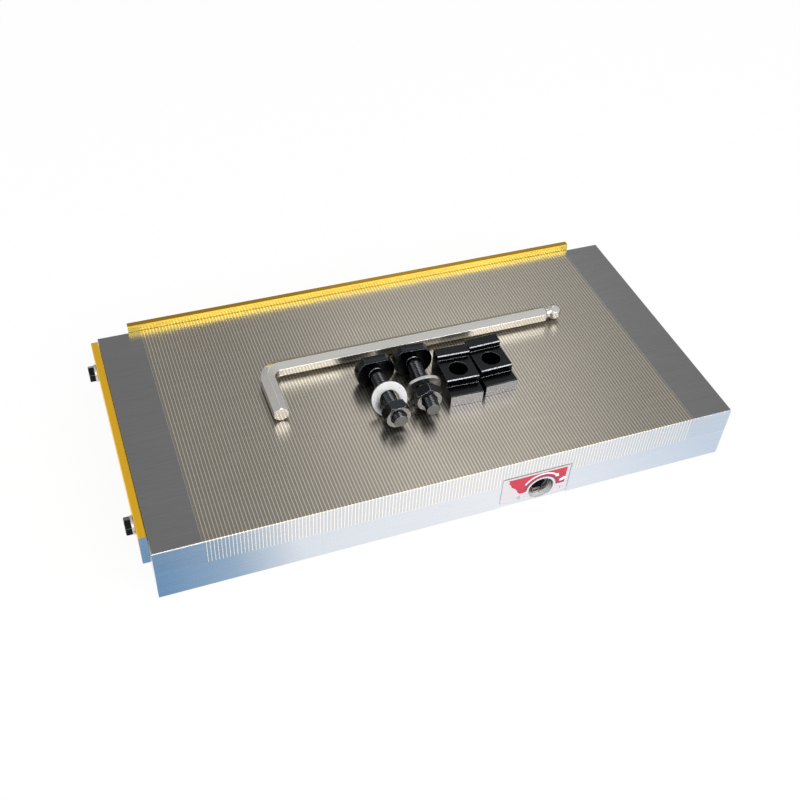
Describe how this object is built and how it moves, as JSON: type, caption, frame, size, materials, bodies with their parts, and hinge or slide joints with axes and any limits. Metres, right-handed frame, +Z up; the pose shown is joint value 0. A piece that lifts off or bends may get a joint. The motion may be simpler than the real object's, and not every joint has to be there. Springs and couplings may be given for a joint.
{
  "type": "magnetic chuck",
  "caption": "Flat laminated magnetic chuck for surface grinding, switched by a key-turned cam, with stop bars, key, bolts and stepped clamps.",
  "frame": {"origin": "centre of the base's resting face", "axes": "+X along the chuck to the operator's right, +Y from the key side to the back, +Z up"},
  "size_m": [0.4109, 0.2108, 0.067],
  "materials": {
    "ground_steel": "surface-ground steel, fine straight grain",
    "pole_steel": "surface-ground mild steel sheet",
    "sheet_brass": "ground brass sheet",
    "bar_brass": "bright gold-yellow milled bar",
    "black_steel": "black-oxide steel, worn bright at edges",
    "plated_steel": "bright zinc plate",
    "cam_steel": "turned and hardened steel",
    "mild_steel": "milled mild steel",
    "spring_steel": "phosphated spring steel",
    "bearing_bronze": "turned bronze",
    "seal_rubber": "moulded nitrile rubber",
    "ferrite": "sintered ferrite magnet, ground",
    "sign_sheet": "printed aluminium sheet",
    "nickel_plate": "satin nickel plate"
  },
  "bodies": {
    "chuck": {"base_housing": "ground_steel", "end_blocks": "ground_steel", "steel_laminations": "pole_steel", "brass_laminations": "sheet_brass", "body_screws": "black_steel", "cavity_seal": "seal_rubber", "cam_bush": "bearing_bronze", "cam_retaining_ring": "spring_steel", "cam_stop_pin": "cam_steel", "guide_strips": "sheet_brass", "sign_plate": "sign_sheet", "rear_rail_screws": "black_steel", "rear_rail_washers": "plated_steel", "end_stop_screws": "black_steel", "end_stop_washers": "plated_steel"},
    "cam": {"cam_shaft": "cam_steel", "cam_o_ring": "seal_rubber"},
    "magnet_pack": {"magnet_yoke": "mild_steel", "pole_bars": "mild_steel", "magnet_blocks": "ferrite", "drive_block": "bearing_bronze", "drive_block_screws": "black_steel"},
    "rear_rail": {"rear_rail": "bar_brass"},
    "end_stop": {"end_stop": "bar_brass"},
    "hex_key": {"hex_key": "nickel_plate"},
    "left_step_clamp": {"left_step_clamp": "black_steel"},
    "right_step_clamp": {"right_step_clamp": "black_steel"},
    "left_clamp_bolt": {"left_clamp_bolt": "black_steel"},
    "right_clamp_bolt": {"right_clamp_bolt": "black_steel"},
    "left_clamp_washer": {"left_clamp_washer": "plated_steel"},
    "left_clamp_nut": {"left_clamp_nut": "black_steel"},
    "right_clamp_washer": {"right_clamp_washer": "plated_steel"},
    "right_clamp_nut": {"right_clamp_nut": "black_steel"}
  },
  "joints": [
    {"name": "cam_turn", "type": "hinge", "parent": "chuck", "child": "cam", "pos_m": [0.0585, -0.085, 0.0107], "axis": [0, 1, 0], "range_deg": [0, 180]},
    {"name": "magnet_slide", "type": "slide", "parent": "chuck", "child": "magnet_pack", "axis": [1, 0, 0], "range_m": [0, 0.006]},
    {"name": "rear_rail_lift", "type": "slide", "parent": "chuck", "child": "rear_rail", "axis": [0, 0, 1], "range_m": [-0.0035, 0.0035]},
    {"name": "end_stop_lift", "type": "slide", "parent": "chuck", "child": "end_stop", "axis": [0, 0, 1], "range_m": [-0.0035, 0.0035]},
    {"name": "hex_key_lift", "type": "slide", "parent": "chuck", "child": "hex_key", "axis": [0, 0, 1], "range_m": [0, 0.1]},
    {"name": "left_step_clamp_lift", "type": "slide", "parent": "chuck", "child": "left_step_clamp", "axis": [0, 0, 1], "range_m": [0, 0.1]},
    {"name": "right_step_clamp_lift", "type": "slide", "parent": "chuck", "child": "right_step_clamp", "axis": [0, 0, 1], "range_m": [0, 0.1]},
    {"name": "left_clamp_bolt_lift", "type": "slide", "parent": "chuck", "child": "left_clamp_bolt", "axis": [0, 0, 1], "range_m": [0, 0.1]},
    {"name": "right_clamp_bolt_lift", "type": "slide", "parent": "chuck", "child": "right_clamp_bolt", "axis": [0, 0, 1], "range_m": [0, 0.1]},
    {"name": "left_clamp_washer_slide", "type": "slide", "parent": "left_clamp_bolt", "child": "left_clamp_washer", "axis": [-0.0087, 1, 0], "range_m": [0, 0.0185]},
    {"name": "left_clamp_nut_turn", "type": "hinge", "parent": "left_clamp_bolt", "child": "left_clamp_nut", "pos_m": [-0.0273, -0.0039, 0.0542], "axis": [0.0087, -1, 0], "continuous": true},
    {"name": "right_clamp_washer_slide", "type": "slide", "parent": "right_clamp_bolt", "child": "right_clamp_washer", "axis": [0.0767, 0.9971, 0], "range_m": [0, 0.02]},
    {"name": "right_clamp_nut_turn", "type": "hinge", "parent": "right_clamp_bolt", "child": "right_clamp_nut", "pos_m": [0.0011, -0.0005, 0.0542], "axis": [-0.0767, -0.9971, 0], "continuous": true}
  ],
  "couplings": [
    {"joint": "cam_turn", "follows": "magnet_slide", "rad_per_m": 523.6}
  ]
}
